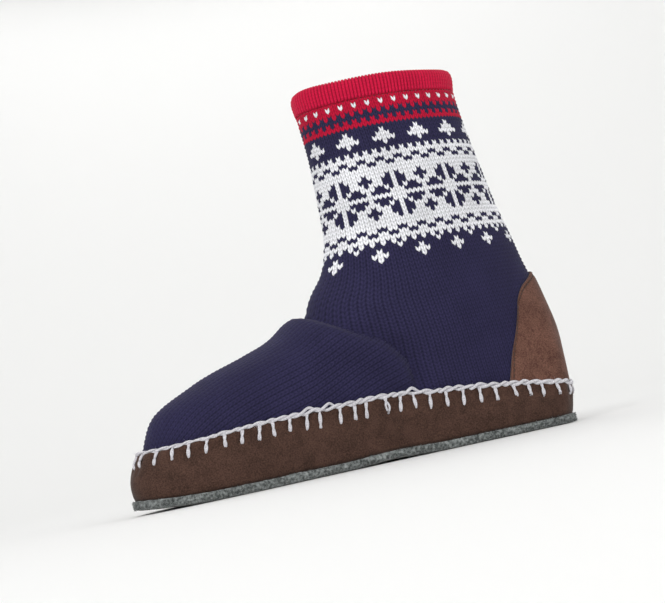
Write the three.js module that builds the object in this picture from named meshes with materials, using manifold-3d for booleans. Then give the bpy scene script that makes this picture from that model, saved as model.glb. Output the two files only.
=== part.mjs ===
// Knitted slipper boot for a left foot, EU size 36/37, in millimetres.
// A felt sole, a suede rand and heel patch, a hollow knitted foot and shaft, and a red turned hem.
// The pieces are laid out in the foot's own directions: X runs from heel to toe, Y to the outer side
// of the foot, Z up. The finished group is then turned so that the toe points to -X.
import * as THREE from "three";
import { mergeVertices } from "three/addons/utils/BufferGeometryUtils.js";
import Module from "manifold-3d";

const wasm = await Module();
wasm.setup();

// Driving sizes
const FOOT_LENGTH = 248;
const BALL_HALF_WIDTH = 40;
const HEEL_CURVE = { outer: 17, inner: 30 };
const TOE_CURVE = 70;
const FELT = 5;
const FELT_EDGE_ROUND = 0.9;
const INSOLE_PAD = 3.5;
const INSOLE_EDGE_ROUND = 0.8;
const KNIT_WALL = 3;
const RAND_SUEDE = 1.8;
const PATCH_SUEDE = 1.5;
const GAP = 0.3;
const PATCH_GAP = 0.65;
const SEAM = FELT + GAP;

// The sole leaves the floor at the toe and, less, under the waist of the foot
const TOE_SPRING = { start: 200, rise: 3 };
const WAIST_LIFT = { start: 78, end: 140, rise: 1 };

// Red hem on top of the shaft
const HEM_HEIGHT = 11;
const HEM_SWELL = 0.9;
const HEM_BELLY = 1.35;
const HEM_ROUND = 2.4;

// Yarn along the rand's top edge
const CORD_RADIUS = 1.2;
const BAR_RADIUS = 0.9;
const BAR_LENGTH = 7.5;
const BAR_COUNT = 62;

// Heel patch: its height on the upper's levels, at the back and towards its round front corners
const PATCH_TOP_AT_BACK = 6.15;
const PATCH_TOP_DROP = 0.75;
const PATCH_CORNER = { start: 0.8, drop: 0.6 };
const PATCH_SLANT = 0.055;

// Facets
const TURNS = 56;
const CORD_SIDES = 6;
const BAR_SIDES = 4;
const RAND_ROWS = 4;
const PATCH_SIDE_COLUMNS = 7;
const PATCH_ROWS = 10;

// Small steps on the upper's levels and turns, and the distance within which corners are one
const SMALL_STEP = 1e-3;
const SAME_POINT = 1e-4;

// The felt sole from above: where its middle lies (+ is the outer side) and its half width.
const SOLE_STATIONS = [
  { along: 0, centre: 1.2, half: 29.3 },
  { along: 35, centre: 0.6, half: 29.5 },
  { along: 70, centre: -2.8, half: 30.4 },
  { along: 100, centre: -7.3, half: 33.5 },
  { along: 135, centre: -9.8, half: 37.6 },
  { along: 178, centre: -6.8, half: 40 },
  { along: 215, centre: -2, half: 40 },
  { along: 248, centre: 4, half: 40 },
];

// Rings of the knitted upper, from the edge of the sole to the shaft's top. Each ring runs from a point on
// the heel line (back) to a point on the vamp or shin line (front). Arch lifts its sides, half is its half
// width, foot is how much of the sole's outline it keeps instead of an oval, and swing how far it follows
// the inward curve of the sole.
const UPPER_RINGS = [
  { level: 0, back: 2.8, backUp: SEAM, front: 245, frontUp: SEAM, arch: 0, half: 37.3, foot: 1, swing: 1 },
  { level: 1, back: 1, backUp: 12.5, front: 245.2, frontUp: 16, arch: 3.75, half: 38, foot: 1, swing: 1 },
  { level: 2, back: 0.2, backUp: 19.5, front: 239.5, frontUp: 27, arch: 9.5, half: 36.2, foot: 1, swing: 1 },
  { level: 3, back: -0.4, backUp: 40, front: 228, frontUp: 48, arch: 2.5, half: 36.4, foot: 0.9, swing: 1 },
  { level: 4, back: 0.2, backUp: 55, front: 204, frontUp: 61, arch: 0, half: 36, foot: 0.66, swing: 0.95 },
  { level: 5, back: 2, backUp: 70, front: 174, frontUp: 71, arch: 0, half: 34.8, foot: 0.34, swing: 0.8 },
  { level: 6, back: 5.4, backUp: 85, front: 145, frontUp: 83, arch: 0, half: 33, foot: 0.1, swing: 0.55 },
  { level: 7, back: 10, backUp: 101, front: 126, frontUp: 101, arch: 0, half: 31.6, foot: 0, swing: 0.3 },
  { level: 8, back: 16, backUp: 125, front: 117, frontUp: 126, arch: 0, half: 30.8, foot: 0, swing: 0.1 },
  { level: 9, back: 22, backUp: 160, front: 116, frontUp: 161, arch: 0, half: 29.8, foot: 0, swing: 0 },
  { level: 10, back: 27, backUp: 195, front: 118, frontUp: 196, arch: 0, half: 28.6, foot: 0, swing: 0 },
];
const RAND_TOP_LEVEL = 2;
const SHAFT_TOP_LEVEL = 10;

// Facet rows of the upper: coarse inside the rand and up the shaft, finer over the vamp.
const UPPER_STEPS = [
  { from: 0, to: 2, steps: 4 },
  { from: 2, to: 7, steps: 13 },
  { from: 7, to: 10, steps: 5 },
];

// Smooth value of one column of a table at a place between its rows.
function readTable(rows, key, column, at) {
  const last = rows.length - 1;
  let i = 0;
  while (i < last - 1 && at > rows[i + 1][key]) {
    i += 1;
  }
  const low = rows[i];
  const high = rows[i + 1];
  const before = rows[Math.max(i - 1, 0)];
  const after = rows[Math.min(i + 2, last)];
  const span = high[key] - low[key];
  const share = THREE.MathUtils.clamp((at - low[key]) / span, 0, 1);
  const slopeLow = ((high[column] - before[column]) / (high[key] - before[key])) * span;
  const slopeHigh = ((after[column] - low[column]) / (after[key] - low[key])) * span;
  const rise = high[column] - low[column];
  const bend = slopeLow + slopeHigh - 2 * rise;
  return low[column] + share * (slopeLow + share * (rise - slopeLow - bend + share * bend));
}

// Height of a quarter circle, 1 at its start and 0 at its end.
function quarterRound(share) {
  return Math.sqrt(Math.max(0, 1 - share * share));
}

// Half width of the sole at a station, rounded off at the heel and toe ends. Side is above 0 on the outer
// side, where the heel is squarer.
function soleHalfWidth(along, side) {
  const half = readTable(SOLE_STATIONS, "along", "half", along);
  const heelCurve = side > 0 ? HEEL_CURVE.outer : HEEL_CURVE.inner;
  const intoHeel = Math.max(0, 1 - along / heelCurve);
  const intoToe = Math.max(0, 1 - (FOOT_LENGTH - along) / TOE_CURVE);
  return half * quarterRound(intoHeel) * quarterRound(intoToe);
}

function soleMiddle(along) {
  return readTable(SOLE_STATIONS, "along", "centre", along);
}

// Height of the sole's underside over the floor.
function soleLift(along) {
  const toe = Math.max(0, (along - TOE_SPRING.start) / (FOOT_LENGTH - TOE_SPRING.start));
  const waist = THREE.MathUtils.clamp((along - WAIST_LIFT.start) / (WAIST_LIFT.end - WAIST_LIFT.start), 0, 1);
  return TOE_SPRING.rise * toe * toe + WAIST_LIFT.rise * Math.sin(Math.PI * waist) ** 2;
}

// A turn of 0 is at the toe, a quarter turn is the outer side and a half turn is the heel.
function turnShare(turn) {
  return (1 + Math.cos(turn)) / 2;
}

// Point on the outside of the knitted upper.
function upperPoint(turn, level) {
  const ring = (column) => readTable(UPPER_RINGS, "level", column, level);
  const share = turnShare(turn);
  const along = THREE.MathUtils.lerp(ring("back"), ring("front"), share);
  const side = Math.sign(Math.sin(turn));
  const footShape = soleHalfWidth(share * FOOT_LENGTH, side) / BALL_HALF_WIDTH;
  const oval = Math.abs(Math.sin(turn));
  const width = ring("half") * THREE.MathUtils.lerp(oval, footShape, ring("foot"));
  const across = ring("swing") * soleMiddle(along) + side * width;
  const straightUp = THREE.MathUtils.lerp(ring("backUp"), ring("frontUp"), share);
  const up = straightUp + ring("arch") * 4 * share * (1 - share) + ring("foot") * soleLift(along);
  return new THREE.Vector3(along, across, up);
}

// Directions on the upper: out of the wall, and up along it.
function upperDirections(turn, level) {
  const low = Math.max(level - SMALL_STEP, 0);
  const high = Math.min(level + SMALL_STEP, SHAFT_TOP_LEVEL);
  const around = upperPoint(turn + SMALL_STEP, level).sub(upperPoint(turn - SMALL_STEP, level));
  const rise = upperPoint(turn, high).sub(upperPoint(turn, low)).divideScalar(high - low);
  const out = around.cross(rise).normalize();
  return { out, rise };
}

function upperOffset(turn, level, distance) {
  const { out } = upperDirections(turn, level);
  return upperPoint(turn, level).addScaledVector(out, distance);
}

// Level that lies a short distance further up the wall.
function levelAbove(turn, level, distance) {
  return level + distance / upperDirections(turn, level).rise.length();
}

function evenTurns(count) {
  return Array.from({ length: count }, (_, i) => (2 * Math.PI * i) / count);
}

// One row of points round the upper. The wall's lower edge follows the sole and its top edge is level.
function upperRow(turns, level, distance) {
  return turns.map((turn) => {
    const point = upperOffset(turn, level, distance);
    if (level === 0) {
      point.z = SEAM + soleLift(point.x);
    }
    if (level === SHAFT_TOP_LEVEL) {
      point.z = upperPoint(turn, level).z;
    }
    return point;
  });
}

function geometryFrom(points, triangles) {
  const geometry = new THREE.BufferGeometry().setFromPoints(points);
  geometry.setIndex(triangles.flat());
  return geometry;
}

function quad(a, b, c, d) {
  return [[a, b, c], [a, c, d]].filter((corners) => new Set(corners).size === 3);
}

// Closed solid from rows of points, where the rows wrap round the section of a wall. The columns wrap too
// on a ring, and on a patch the two end sections are closed flat.
function wallSolid(rows, isRing) {
  const columns = rows[0].length;
  const at = (r, c) => (r % rows.length) * columns + (c % columns);
  const triangles = [];
  const spans = isRing ? columns : columns - 1;
  for (let r = 0; r < rows.length; r += 1) {
    for (let c = 0; c < spans; c += 1) {
      triangles.push(...quad(at(r, c), at(r, c + 1), at(r + 1, c + 1), at(r + 1, c)));
    }
  }
  if (!isRing) {
    const half = rows.length / 2;
    for (let r = 0; r < half - 1; r += 1) {
      const inner = rows.length - 1 - r;
      const end = columns - 1;
      triangles.push(...quad(at(r, 0), at(r + 1, 0), at(inner - 1, 0), at(inner, 0)));
      triangles.push(...quad(at(inner, end), at(inner - 1, end), at(r + 1, end), at(r, end)));
    }
  }
  return geometryFrom(rows.flat(), triangles);
}

// Closed solid from stacked rows, bottom row first, with straight rungs across the bottom and the top.
function slabSolid(rows) {
  const columns = rows[0].length;
  const at = (r, c) => r * columns + (c % columns);
  const triangles = [];
  for (let r = 0; r < rows.length - 1; r += 1) {
    for (let c = 0; c < columns; c += 1) {
      triangles.push(...quad(at(r, c), at(r, c + 1), at(r + 1, c + 1), at(r + 1, c)));
    }
  }
  const top = rows.length - 1;
  for (let c = 0; c < columns / 2; c += 1) {
    triangles.push(...quad(at(0, columns - c), at(0, columns - c - 1), at(0, c + 1), at(0, c)));
    triangles.push(...quad(at(top, c), at(top, c + 1), at(top, columns - c - 1), at(top, columns - c)));
  }
  return geometryFrom(rows.flat(), triangles);
}

function toManifold(geometry) {
  const bare = geometry.clone();
  bare.deleteAttribute("normal");
  bare.deleteAttribute("uv");
  const merged = mergeVertices(bare, SAME_POINT);
  const vertProperties = new Float32Array(merged.attributes.position.array);
  const triVerts = new Uint32Array(merged.index.array);
  return new wasm.Manifold(new wasm.Mesh({ numProp: 3, vertProperties, triVerts }));
}

function fromManifold(solid) {
  const mesh = solid.getMesh();
  const geometry = new THREE.BufferGeometry();
  geometry.setAttribute("position", new THREE.BufferAttribute(mesh.vertProperties, 3));
  geometry.setIndex(new THREE.BufferAttribute(mesh.triVerts, 1));
  return geometry;
}

function makeMesh(name, geometry, color, roughness) {
  geometry.computeVertexNormals();
  const mesh = new THREE.Mesh(geometry, new THREE.MeshStandardMaterial({ color, roughness, metalness: 0 }));
  mesh.name = name;
  return mesh;
}

// Felt sole: one thick layer with slightly rounded edges.
function makeOutsole() {
  const profile = [
    { inset: FELT_EDGE_ROUND, up: 0 },
    { inset: 0, up: FELT_EDGE_ROUND },
    { inset: 0, up: FELT - FELT_EDGE_ROUND },
    { inset: FELT_EDGE_ROUND, up: FELT },
  ];
  const rows = profile.map(({ inset, up }) =>
    evenTurns(TURNS).map((turn) => {
      const station = turnShare(turn) * FOOT_LENGTH;
      const along = THREE.MathUtils.clamp(station, inset, FOOT_LENGTH - inset);
      const side = Math.sign(Math.sin(turn));
      const width = Math.max(0, soleHalfWidth(station, side) - inset);
      const across = soleMiddle(station) + side * width;
      return new THREE.Vector3(along, across, up + soleLift(along));
    }),
  );
  return makeMesh("outsole", slabSolid(rows), 0x565a57, 0.95);
}

// Insole: a soft pad that fills the floor of the upper, inside its wall.
function makeInsole() {
  const side = KNIT_WALL + GAP;
  const profile = [
    { inset: side, up: 0 },
    { inset: side, up: INSOLE_PAD - INSOLE_EDGE_ROUND },
    { inset: side + INSOLE_EDGE_ROUND, up: INSOLE_PAD },
  ];
  const rows = profile.map(({ inset, up }) =>
    upperRow(evenTurns(TURNS), 0, -inset).map((point) => point.setZ(point.z + up)),
  );
  return makeMesh("insole", slabSolid(rows), 0x8d8f8d, 0.95);
}

// Knitted upper: foot and shaft in one wall, open at the shaft's top and along the sole.
function makeUpper() {
  const turns = evenTurns(TURNS);
  const levels = UPPER_STEPS.flatMap(({ from, to, steps }) =>
    Array.from({ length: steps }, (_, i) => THREE.MathUtils.lerp(from, to, i / steps)),
  );
  levels.push(SHAFT_TOP_LEVEL);
  const outside = levels.map((level) => upperRow(turns, level, 0));
  const inside = levels.map((level) => upperRow(turns, level, -KNIT_WALL));
  return makeMesh("upper", wallSolid([...outside, ...inside.reverse()], true), 0x2e2a4f, 0.95);
}

// Rand: a suede band round the foot, from the felt to the stitched edge.
function makeRand() {
  const turns = evenTurns(TURNS);
  const levels = Array.from({ length: RAND_ROWS + 1 }, (_, i) => (RAND_TOP_LEVEL * i) / RAND_ROWS);
  const outside = levels.map((level) => upperRow(turns, level, GAP + RAND_SUEDE));
  const inside = levels.map((level) => upperRow(turns, level, GAP));
  return makeMesh("rand", wallSolid([...outside, ...inside.reverse()], true), 0x4a3027, 0.9);
}

// Heel patch: a suede counter with round upper corners, seated on the knit just above the yarn and narrower
// towards its top.
function makeHeelPatch() {
  const halfWidth = (2 * Math.PI * PATCH_SIDE_COLUMNS) / TURNS;
  const turns = evenTurns(TURNS).filter((turn) => Math.abs(turn - Math.PI) < halfWidth + SMALL_STEP);
  const topLevel = (turn) => {
    const side = Math.min(1, Math.abs(turn - Math.PI) / halfWidth);
    const corner = Math.max(0, (side - PATCH_CORNER.start) / (1 - PATCH_CORNER.start));
    const cornerDrop = PATCH_CORNER.drop * (1 - quarterRound(corner));
    return PATCH_TOP_AT_BACK - PATCH_TOP_DROP * side * side - cornerDrop;
  };
  const clearOfCord = 2 * CORD_RADIUS + 2 * GAP;
  const row = (share, distance) =>
    turns.map((column) => {
      const turn = Math.PI + (column - Math.PI) * (1 + PATCH_SLANT * (1 - 2 * share));
      const low = levelAbove(turn, RAND_TOP_LEVEL, clearOfCord);
      return upperOffset(turn, THREE.MathUtils.lerp(low, topLevel(column), share), distance);
    });
  const shares = Array.from({ length: PATCH_ROWS + 1 }, (_, i) => i / PATCH_ROWS);
  const outside = shares.map((share) => row(share, PATCH_GAP + PATCH_SUEDE));
  const inside = shares.map((share) => row(share, PATCH_GAP));
  return makeMesh("heel_patch", wallSolid([...outside, ...inside.reverse()], false), 0x5f4032, 0.9);
}

// Turned hem: a thicker ring with a round top, seated on the shaft's top edge.
function makeCollarHem() {
  const turns = evenTurns(TURNS);
  const profile = [
    { out: HEM_SWELL, up: 0 },
    { out: HEM_BELLY, up: HEM_HEIGHT / 2 },
    { out: HEM_SWELL, up: HEM_HEIGHT - HEM_ROUND },
    { out: HEM_SWELL - HEM_ROUND / 2, up: HEM_HEIGHT - HEM_ROUND / 4 },
    { out: -KNIT_WALL / 2, up: HEM_HEIGHT },
    { out: HEM_ROUND / 2 - KNIT_WALL - HEM_SWELL, up: HEM_HEIGHT - HEM_ROUND / 4 },
    { out: -KNIT_WALL - HEM_SWELL, up: HEM_HEIGHT - HEM_ROUND },
    { out: -KNIT_WALL - HEM_SWELL, up: 0 },
  ];
  const rows = profile.map(({ out, up }) =>
    upperRow(turns, SHAFT_TOP_LEVEL, out).map((point) => point.setZ(point.z + GAP + up)),
  );
  return makeMesh("collar_hem", wallSolid(rows, true), 0xc1152f, 0.9);
}

// Blanket stitch: yarn laid along the rand's top edge, with short bars caught down over the suede.
function makeBlanketStitch() {
  const seat = (turn) => {
    const level = levelAbove(turn, RAND_TOP_LEVEL, GAP + CORD_RADIUS);
    const { out, rise } = upperDirections(turn, level);
    const centre = upperPoint(turn, level).addScaledVector(out, GAP + RAND_SUEDE);
    return { centre, out, upward: rise.normalize() };
  };
  const rows = evenTurns(CORD_SIDES).map((side) =>
    evenTurns(TURNS).map((turn) => {
      const { centre, out, upward } = seat(turn);
      return centre
        .addScaledVector(out, CORD_RADIUS * Math.cos(side))
        .addScaledVector(upward, CORD_RADIUS * Math.sin(side));
    }),
  );
  let yarn = toManifold(wallSolid(rows, true));
  const barOut = 2 * GAP + RAND_SUEDE + BAR_RADIUS;
  for (const turn of stitchTurns()) {
    const { centre, out } = seat(turn);
    const head = centre.addScaledVector(out, GAP + BAR_RADIUS);
    const reach = barFoot(turn, head, barOut).sub(head);
    const bar = new THREE.CylinderGeometry(BAR_RADIUS, BAR_RADIUS, reach.length(), BAR_SIDES);
    const direction = reach.clone().normalize();
    bar.applyQuaternion(new THREE.Quaternion().setFromUnitVectors(THREE.Object3D.DEFAULT_UP, direction));
    bar.translate(...head.addScaledVector(reach, 0.5).toArray());
    yarn = yarn.add(toManifold(bar));
  }
  return makeMesh("blanket_stitch", fromManifold(yarn), 0xc9c8d0, 0.9);
}

// Lower end of a stitch bar: straight below its head, square to the rand's edge.
function barFoot(turn, head, distance) {
  const level = levelAbove(turn, RAND_TOP_LEVEL, -BAR_LENGTH);
  const edge = upperPoint(turn + SMALL_STEP, RAND_TOP_LEVEL).sub(upperPoint(turn, RAND_TOP_LEVEL));
  const slip = upperOffset(turn, level, distance).sub(head).dot(edge) / edge.lengthSq();
  return upperOffset(turn - slip * SMALL_STEP, level, distance);
}

// Turns of the stitch bars, evenly spaced along the rand's top edge.
function stitchTurns() {
  const edge = new THREE.CatmullRomCurve3(
    evenTurns(TURNS).map((turn) => upperPoint(turn, RAND_TOP_LEVEL)),
    true,
  );
  return Array.from({ length: BAR_COUNT }, (_, i) => 2 * Math.PI * edge.getUtoTmapping(i / BAR_COUNT));
}

const pieces = new THREE.Group();
pieces.add(
  makeOutsole(),
  makeInsole(),
  makeUpper(),
  makeRand(),
  makeHeelPatch(),
  makeCollarHem(),
  makeBlanketStitch(),
);

// The origin is under the middle of the slipper's box, on the floor.
const box = new THREE.Box3().setFromObject(pieces);
pieces.position.set(-(box.min.x + box.max.x) / 2, -(box.min.y + box.max.y) / 2, -box.min.z);

const slipper = new THREE.Group();
slipper.add(pieces);
slipper.rotation.z = Math.PI;

export default slipper;
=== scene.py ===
import math

import bmesh
import bpy
import numpy as np
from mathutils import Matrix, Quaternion, Vector


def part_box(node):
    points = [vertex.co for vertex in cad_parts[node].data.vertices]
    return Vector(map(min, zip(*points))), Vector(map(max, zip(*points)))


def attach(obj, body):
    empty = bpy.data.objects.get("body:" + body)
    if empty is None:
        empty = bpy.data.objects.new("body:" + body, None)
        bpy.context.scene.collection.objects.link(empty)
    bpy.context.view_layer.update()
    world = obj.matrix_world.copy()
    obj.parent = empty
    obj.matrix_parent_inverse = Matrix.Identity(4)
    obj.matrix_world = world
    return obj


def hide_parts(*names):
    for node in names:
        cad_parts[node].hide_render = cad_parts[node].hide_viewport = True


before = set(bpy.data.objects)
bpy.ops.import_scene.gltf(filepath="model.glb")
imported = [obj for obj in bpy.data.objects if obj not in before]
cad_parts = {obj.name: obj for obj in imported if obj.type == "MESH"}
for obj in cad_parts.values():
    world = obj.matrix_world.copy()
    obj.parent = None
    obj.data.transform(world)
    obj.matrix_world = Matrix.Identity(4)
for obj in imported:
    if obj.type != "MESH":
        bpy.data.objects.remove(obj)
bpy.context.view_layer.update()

# Felt sole
# A left sole cut from one thick layer of grey felt, a loose wool knitting that was shrunk until it closed.
# The underside still shows the rows of the knitting, and the cut edge is paler and hairy. The rand is sewn
# to the felt along its upper edge.
MM = 0.001
FOOT_LENGTH = 248
HEEL_CURVE_OUTER, HEEL_CURVE_INNER = 17, 30
TOE_CURVE = 70
FELT = 5
TOE_SPRING = {"start": 200, "rise": 3}
WAIST_LIFT = {"start": 78, "end": 140, "rise": 1}
SOLE_STATIONS = {
    "along": [0, 35, 70, 100, 135, 178, 215, 248],
    "centre": [1.2, 0.6, -2.8, -7.3, -9.8, -6.8, -2, 4],
    "half": [29.3, 29.5, 30.4, 33.5, 37.6, 40, 40, 40],
}
# The heel and the foot's own line in the frame, whose x axis points from toe to heel.
HEEL_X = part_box("outsole")[1].x / MM
FOOT_LINE_Y = -7.3
SOLE_TURNS, SOLE_RUNGS = 420, 40
# Each corner of the edge is given by its inset from the outline and its height.
FELT_EDGE = [(4.0, 0.0), (2.6, 0.08), (1.5, 0.4), (0.7, 1.0), (0.2, 1.8), (0.0, 2.7), (0.15, 3.6),
             (0.6, 4.4), (1.4, 4.9)]
FELT_DARK_ROWS = 2
# Soft unevenness is given here and below by its height, the size of its lumps, and a seed.
FELT_LUMPS, FELT_FINE_LUMPS = (0.4, 4.5, 3), (0.2, 1.6, 4)
EDGE_LIFT_ABOVE, EDGE_LIFT_BELOW = 0.8, 0.5
FELT_HAIRS = 9000
FELT_HAIR_LENGTH = (0.5, 1.6)
FELT_HAIR_WIDTH = 0.22
FELT_HAIR_UP = (0.5, FELT - 0.3)
FELT_HAIR_ROOT = 0.3
FELT_HAIR_OUTWARDS, FELT_HAIR_SPREAD = 0.75, 0.6
FELT_HAIR_CLEARANCE = 0.3
FELT_DARK, FELT_LIGHT = "2f302e", "7a7c78"
FELT_EDGE_DARK, FELT_EDGE_LIGHT = "474b4a", "9a9f9e"
FELT_HAIR_DARK, FELT_HAIR_LIGHT = "5f6362", "a9aeac"
FACE_FLECK, EDGE_FLECK = 1.6, 1.5
FELT_CLOUD = 16
KNITTED_ROW, KNITTED_ROW_RELIEF = 2.3, 0.45
# A wave pattern has about this many bands in a metre at scale 1.
BANDS_AT_SCALE_1 = 3.2
CORNERS_JOINED_WITHIN = 0.002


def linear(code):
    """An sRGB hex colour as linear red, green, blue and alpha."""
    values = [int(code[i:i + 2], 16) / 255 for i in (0, 2, 4)]
    return [v / 12.92 if v <= 0.04045 else ((v + 0.055) / 1.055) ** 2.4 for v in values] + [1.0]


def add_node(material, kind, inputs=None, **settings):
    """Adds a shader node, sets its settings, and gives each input a value or a link."""
    tree = material.node_tree
    node = tree.nodes.new(kind)
    for name, value in settings.items():
        setattr(node, name, value)
    for socket, value in (inputs or {}).items():
        if isinstance(value, bpy.types.NodeSocket):
            tree.links.new(value, node.inputs[socket])
        else:
            node.inputs[socket].default_value = value
    return node


def new_material(name, inputs):
    """A material with one Principled shader, and that shader's inputs set by name."""
    material = bpy.data.materials.new(name)
    material.use_nodes = True
    shader = material.node_tree.nodes["Principled BSDF"]
    for socket, value in inputs.items():
        shader.inputs[socket].default_value = value
    return material, shader


def link(material, output, socket):
    """Links a node's output to a socket of another node."""
    material.node_tree.links.new(output, socket)


def grain(place, size, detail):
    """Inputs of a pattern whose grain is so many millimetres in size."""
    return {"Vector": place, "Scale": 1 / (size * MM), "Detail": detail}


def fibre_surface(material, shader, pattern, span, dark, light, relief, strength, depth):
    """Colours a material from dark to light over a pattern's span, and raises it by so many millimetres."""
    limits = {"Value": pattern, "From Min": span[0], "From Max": span[1]}
    share = add_node(material, "ShaderNodeMapRange", limits).outputs[0]
    tones = {"Fac": share, "Color1": linear(dark), "Color2": linear(light)}
    colour = add_node(material, "ShaderNodeMixRGB", tones)
    link(material, colour.outputs["Color"], shader.inputs["Base Color"])
    raised = {"Height": relief, "Strength": strength, "Distance": depth * MM}
    bump = add_node(material, "ShaderNodeBump", raised)
    link(material, bump.outputs["Normal"], shader.inputs["Normal"])


def read_column(table, key, column, at):
    """Smooth value of one column of a table between its rows."""
    keys = np.array(table[key], float)
    values = np.array(table[column], float)
    at = np.asarray(at, float)
    low = np.clip(np.searchsorted(keys, at) - 1, 0, len(keys) - 2)
    high = low + 1
    before = np.maximum(low - 1, 0)
    after = np.minimum(low + 2, len(keys) - 1)
    span = keys[high] - keys[low]
    share = np.clip((at - keys[low]) / span, 0, 1)
    slope_low = (values[high] - values[before]) / (keys[high] - keys[before]) * span
    slope_high = (values[after] - values[low]) / (keys[after] - keys[low]) * span
    rise = values[high] - values[low]
    bend = slope_low + slope_high - 2 * rise
    return values[low] + share * (slope_low + share * (rise - slope_low - bend + share * bend))


def sole_half_width(along, side):
    """Half width of the sole, rounded off at the heel and at the toe."""
    into_heel = np.maximum(0, 1 - along / np.where(side > 0, HEEL_CURVE_OUTER, HEEL_CURVE_INNER))
    into_toe = np.maximum(0, 1 - (FOOT_LENGTH - along) / TOE_CURVE)
    rounded = np.sqrt(np.maximum(0, 1 - into_heel ** 2)) * np.sqrt(np.maximum(0, 1 - into_toe ** 2))
    return read_column(SOLE_STATIONS, "along", "half", along) * rounded


def sole_middle(along):
    """Middle of the sole across the foot, which swings inwards at the waist."""
    return read_column(SOLE_STATIONS, "along", "centre", along)


def sole_lift(along):
    """Height of the sole's underside over the floor, at the toe spring and the waist."""
    toe = np.maximum(0, (along - TOE_SPRING["start"]) / (FOOT_LENGTH - TOE_SPRING["start"]))
    waist = np.clip((along - WAIST_LIFT["start"]) / (WAIST_LIFT["end"] - WAIST_LIFT["start"]), 0, 1)
    return TOE_SPRING["rise"] * toe ** 2 + WAIST_LIFT["rise"] * np.sin(np.pi * waist) ** 2


def soft_noise(points, height, size, seed):
    """Smooth random field of about the given height, with lumps of the given size."""
    draw = np.random.default_rng(seed)
    total = np.zeros(points.shape[:-1])
    waves, closeness, usual_peak = 7, (0.7, 1.5), 0.75
    for _ in range(waves):
        direction = draw.normal(size=3)
        direction *= draw.uniform(*closeness) / np.linalg.norm(direction)
        total += np.sin(points @ direction * np.pi / size + draw.uniform(0, 2 * np.pi))
    return height * (total / math.sqrt(waves) * usual_peak)


def unit(vectors):
    """Vectors of length 1 in the same directions."""
    return vectors / np.linalg.norm(vectors, axis=-1, keepdims=True)


def in_scene(points):
    """Points given along, across and up the foot in millimetres, in the frame's metres."""
    points = np.asarray(points, float)
    moved = np.stack((HEEL_X - points[..., 0], FOOT_LINE_Y - points[..., 1], points[..., 2]), axis=-1)
    return moved * MM


def make_piece(name, points, faces, materials, slots=None, yarn=None):
    """A smooth mesh object from foot points, with coinciding corners joined. A knitted piece also gives its
    yarn: the colour on each face, and how high it stands at each point, from which the wool material
    paints shade between the stitches."""
    mesh = bpy.data.meshes.new(name)
    mesh.from_pydata(in_scene(points).tolist(), [], faces)
    for material in materials:
        mesh.materials.append(material)
    if slots is not None:
        mesh.polygons.foreach_set("material_index", np.asarray(slots, np.int32))
    if yarn:
        colours = mesh.attributes.new("yarn_colour", "FLOAT_COLOR", "FACE")
        colours.data.foreach_set("color", np.asarray(yarn[0], np.float32).ravel())
        stand = mesh.attributes.new("yarn_stand_for_painted_shade", "FLOAT", "POINT")
        stand.data.foreach_set("value", np.asarray(yarn[1], np.float32))
    work = bmesh.new()
    work.from_mesh(mesh)
    bmesh.ops.remove_doubles(work, verts=work.verts, dist=CORNERS_JOINED_WITHIN * MM)
    if yarn:
        bmesh.ops.dissolve_degenerate(work, dist=CORNERS_JOINED_WITHIN * MM, edges=work.edges)
    work.to_mesh(mesh)
    work.free()
    mesh.polygons.foreach_set("use_smooth", np.ones(len(mesh.polygons), bool))
    mesh.update()
    piece = bpy.data.objects.new(name, mesh)
    bpy.context.collection.objects.link(piece)
    return piece


def ring_faces(rows, columns, start=0, closed=False):
    """Quads between stacked rings of points, and from the last ring to the first if they are closed."""
    faces = []
    for r in range(rows if closed else rows - 1):
        low = start + r * columns
        high = start + ((r + 1) % rows) * columns
        for c in range(columns):
            d = (c + 1) % columns
            faces.append([low + c, low + d, high + d, high + c])
    return faces


def rung_fill(ring, rungs, ring_at, next_index, faces_up):
    """Points and faces that close a ring, on rungs between its two sides."""
    half = len(ring) // 2
    inner = np.arange(1, half)
    share = np.arange(1, rungs)[:, None] / rungs
    points = ring[inner][:, None] * (1 - share) + ring[len(ring) - inner][:, None] * share
    index = np.tile(ring_at + np.arange(half + 1)[:, None], rungs + 1)
    index[1:half, rungs] = ring_at + len(ring) - inner
    index[1:half, 1:rungs] = next_index + np.arange(points.size // 3).reshape(points.shape[:2])
    faces = []
    for c in range(half):
        for j in range(rungs):
            corners = [int(i) for i in (index[c, j], index[c + 1, j], index[c + 1, j + 1], index[c, j + 1])]
            face = list(dict.fromkeys(corners if faces_up else corners[::-1]))
            if len(face) > 2:
                faces.append(face)
    return points.reshape(-1, 3), faces


def slab(rows, rungs):
    """A flat piece from the rings round its edge: its points, the faces of its edge and of its flat sides,
    and the number of its first point on top."""
    edge = np.concatenate(rows)
    under, under_faces = rung_fill(rows[0], rungs, 0, len(edge), False)
    top_at = len(edge) + len(under)
    over, over_faces = rung_fill(rows[-1], rungs, len(edge) - len(rows[-1]), top_at, True)
    points = np.concatenate((edge, under, over))
    return points, ring_faces(len(rows), len(rows[0])), under_faces + over_faces, top_at


def slivers(roots, tips, width):
    """Closed three-sided hairs from roots to tips."""
    lean = tips - roots
    any_way_across = np.array([0.31, 0.62, 0.72])
    side = unit(np.cross(lean, any_way_across)) * width / 2
    other = unit(np.cross(lean, side)) * width / 2
    corners = np.stack((roots + side, roots - side * 0.5 + other, roots - side * 0.5 - other, tips), axis=1)
    shape = [[0, 2, 1], [0, 1, 3], [1, 2, 3], [2, 0, 3]]
    faces = [[4 * i + corner for corner in face] for i in range(len(roots)) for face in shape]
    return corners.reshape(-1, 3), faces


def joined(parts):
    """Several points-and-faces pairs as one."""
    points, faces, start = [], [], 0
    for part_points, part_faces in parts:
        points.append(part_points)
        faces += [[i + start for i in face] for face in part_faces]
        start += len(part_points)
    return np.concatenate(points), faces


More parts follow.
